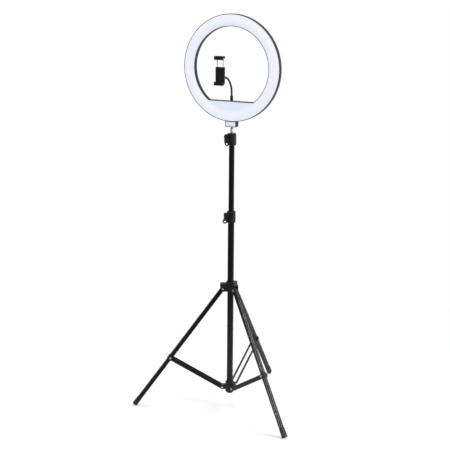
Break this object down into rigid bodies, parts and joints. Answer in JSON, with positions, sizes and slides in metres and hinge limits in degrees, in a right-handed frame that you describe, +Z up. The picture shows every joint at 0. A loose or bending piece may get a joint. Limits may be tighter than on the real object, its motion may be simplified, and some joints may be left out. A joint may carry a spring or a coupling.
{
  "type": "ring light",
  "caption": "Round diffused lamp with a segment panel and phone clamp on a gooseneck, on a telescopic folding tripod stand.",
  "frame": {"origin": "on the floor, on the axis of the column, midway between the three feet", "axes": "+Z up along the column; the lamp faces -Y; one leg points to +Y and two lean forward at 210 and 330 degrees"},
  "size_m": [0.6042, 0.5236, 1.3735],
  "materials": {
    "black_tube": "satin black powder coat",
    "black_steel": "satin black powder coat",
    "black_plastic": "matt moulded plastic",
    "bush_plastic": "natural nylon",
    "steel": "zinc-plated steel",
    "chrome": "polished chrome",
    "zinc": "turned metal",
    "diffuser": "opal diffuser, satin",
    "panel": "opal panel, satin",
    "board": "white circuit board",
    "chips": "light chips",
    "green_board": "green circuit board",
    "inlet_plastic": "gloss black plastic",
    "button_plastic": "soft black plastic",
    "socket_metal": "nickel-plated brass",
    "neck_sleeve": "black flexible sleeve",
    "neck_metal": "black anodised",
    "pad_rubber": "ribbed black rubber"
  },
  "bodies": {
    "stand": {"outer_tube": "black_tube", "tube_plug": "black_plastic", "lower_hub": "black_plastic", "middle_collar": "black_plastic"},
    "spider": {"upper_hub": "black_plastic", "upper_rivets": "steel"},
    "spider_knob": {"spider_knob": "black_plastic", "spider_knob_screw": "steel"},
    "middle_knob": {"middle_knob": "black_plastic", "middle_knob_bolt": "steel"},
    "middle_section": {"middle_tube": "black_tube", "middle_tube_bush": "bush_plastic", "top_collar": "black_plastic"},
    "top_knob": {"top_knob": "black_plastic", "top_knob_bolt": "steel"},
    "top_section": {"top_tube": "black_tube", "top_tube_bush": "bush_plastic", "top_fitting": "zinc"},
    "head_stud": {"ball_stud": "chrome"},
    "head": {"rear_casing": "black_plastic", "casing_screws": "steel", "ring_diffuser": "diffuser", "segment_panel": "panel", "led_board": "board", "led_chips": "chips", "control_board": "green_board", "power_inlet": "inlet_plastic", "socket_left": "socket_metal", "socket_middle": "socket_metal", "socket_right": "socket_metal", "base_block": "black_plastic", "block_front": "diffuser", "ball_seat": "bush_plastic", "ball_retainer": "bush_plastic"},
    "button_1": {"button_1": "button_plastic"},
    "button_2": {"button_2": "button_plastic"},
    "button_3": {"button_3": "button_plastic"},
    "neck_lower": {"neck_ferrule": "neck_metal", "neck_lower": "neck_sleeve"},
    "neck_upper": {"neck_upper": "neck_sleeve", "neck_ball": "chrome"},
    "clamp_cup": {"clamp_cup": "black_plastic", "cup_nut": "black_plastic"},
    "clamp": {"clamp_body": "black_plastic", "lower_pad": "pad_rubber"},
    "jaw": {"clamp_jaw": "black_plastic", "jaw_rods": "steel", "upper_pad": "pad_rubber"},
    "leg_left": {"leg_left": "black_steel", "foot_left": "black_plastic"},
    "strut_left": {"strut_left": "black_steel", "strut_rivets_left": "steel"},
    "leg_right": {"leg_right": "black_steel", "foot_right": "black_plastic"},
    "strut_right": {"strut_right": "black_steel", "strut_rivets_right": "steel"},
    "leg_rear": {"leg_rear": "black_steel", "foot_rear": "black_plastic"},
    "strut_rear": {"strut_rear": "black_steel", "strut_rivets_rear": "steel"}
  },
  "joints": [
    {"name": "leg_fold", "type": "slide", "parent": "stand", "child": "spider", "axis": [0, 0, 1], "range_m": [0, 0.1624]},
    {"name": "leg_left_pivot", "type": "hinge", "parent": "spider", "child": "leg_left", "pos_m": [-0.02382, -0.01375, 0.4324], "axis": [0.5, -0.866, 0], "range_deg": [0, 33.02]},
    {"name": "strut_left_pivot", "type": "hinge", "parent": "stand", "child": "strut_left", "pos_m": [-0.02382, -0.01375, 0.068], "axis": [-0.5, 0.866, 0], "range_deg": [0, 54.42]},
    {"name": "leg_right_pivot", "type": "hinge", "parent": "spider", "child": "leg_right", "pos_m": [0.02382, -0.01375, 0.4324], "axis": [0.5, 0.866, 0], "range_deg": [0, 33.02]},
    {"name": "strut_right_pivot", "type": "hinge", "parent": "stand", "child": "strut_right", "pos_m": [0.02382, -0.01375, 0.068], "axis": [-0.5, -0.866, 0], "range_deg": [0, 54.42]},
    {"name": "leg_rear_pivot", "type": "hinge", "parent": "spider", "child": "leg_rear", "pos_m": [0, 0.0275, 0.4324], "axis": [-1, 0, 0], "range_deg": [0, 33.02]},
    {"name": "strut_rear_pivot", "type": "hinge", "parent": "stand", "child": "strut_rear", "pos_m": [0, 0.0275, 0.068], "axis": [1, 0, 0], "range_deg": [0, 54.42]},
    {"name": "middle_knob_turn", "type": "hinge", "parent": "stand", "child": "middle_knob", "pos_m": [-0.01611, -0.01007, 0.6892], "axis": [0.5299, -0.848, 0], "range_deg": [0, 270]},
    {"name": "spider_knob_turn", "type": "hinge", "parent": "spider", "child": "spider_knob", "pos_m": [-0.02148, 0.0124, 0.438], "axis": [-0.866, 0.5, 0], "range_deg": [0, 270]},
    {"name": "middle_section_slide", "type": "slide", "parent": "stand", "child": "middle_section", "axis": [0, 0, 1], "range_m": [-0.22, 0.26]},
    {"name": "top_knob_turn", "type": "hinge", "parent": "middle_section", "child": "top_knob", "pos_m": [-0.01611, -0.01007, 0.9579], "axis": [0.5299, -0.848, 0], "range_deg": [0, 270]},
    {"name": "top_section_slide", "type": "slide", "parent": "middle_section", "child": "top_section", "axis": [0, 0, 1], "range_m": [0, 0.45]},
    {"name": "head_pan", "type": "hinge", "parent": "top_section", "child": "head_stud", "pos_m": [0, 0, 0.985], "axis": [0, 0, 1], "continuous": true},
    {"name": "head_tilt", "type": "hinge", "parent": "head_stud", "child": "head", "pos_m": [0, 0, 1.0045], "axis": [1, 0, 0], "range_deg": [-20, 20]},
    {"name": "button_1_press", "type": "slide", "parent": "head", "child": "button_1", "axis": [0, -1, 0], "range_m": [0, 0.001], "stiffness_N_per_m": 400, "springref_m": -0.0005},
    {"name": "button_2_press", "type": "slide", "parent": "head", "child": "button_2", "axis": [0, -1, 0], "range_m": [0, 0.001], "stiffness_N_per_m": 400, "springref_m": -0.0005},
    {"name": "button_3_press", "type": "slide", "parent": "head", "child": "button_3", "axis": [0, -1, 0], "range_m": [0, 0.001], "stiffness_N_per_m": 400, "springref_m": -0.0005},
    {"name": "neck_swivel", "type": "hinge", "parent": "head", "child": "neck_lower", "pos_m": [0, -0.004, 1.09], "axis": [0, 0, 1], "range_deg": [-60, 60]},
    {"name": "neck_bend", "type": "hinge", "parent": "neck_lower", "child": "neck_upper", "pos_m": [0, -0.0207, 1.15331], "axis": [1, 0, 0], "range_deg": [-20, 20]},
    {"name": "clamp_tilt", "type": "hinge", "parent": "neck_upper", "child": "clamp_cup", "pos_m": [0, -0.075, 1.17], "axis": [1, 0, 0], "range_deg": [-20, 20]},
    {"name": "clamp_turn", "type": "hinge", "parent": "clamp_cup", "child": "clamp", "pos_m": [0, -0.086, 1.17], "axis": [0, -1, 0], "range_deg": [-90, 90]},
    {"name": "jaw_slide", "type": "slide", "parent": "clamp", "child": "jaw", "axis": [0, 0, 1], "range_m": [-0.017, 0.008]}
  ],
  "couplings": [
    {"joint": "leg_left_pivot", "follows": "leg_fold", "rad_per_m": 3.5482},
    {"joint": "strut_left_pivot", "follows": "leg_fold", "rad_per_m": 5.8481},
    {"joint": "leg_right_pivot", "follows": "leg_fold", "rad_per_m": 3.5482},
    {"joint": "strut_right_pivot", "follows": "leg_fold", "rad_per_m": 5.8481},
    {"joint": "leg_rear_pivot", "follows": "leg_fold", "rad_per_m": 3.5482},
    {"joint": "strut_rear_pivot", "follows": "leg_fold", "rad_per_m": 5.8481}
  ]
}
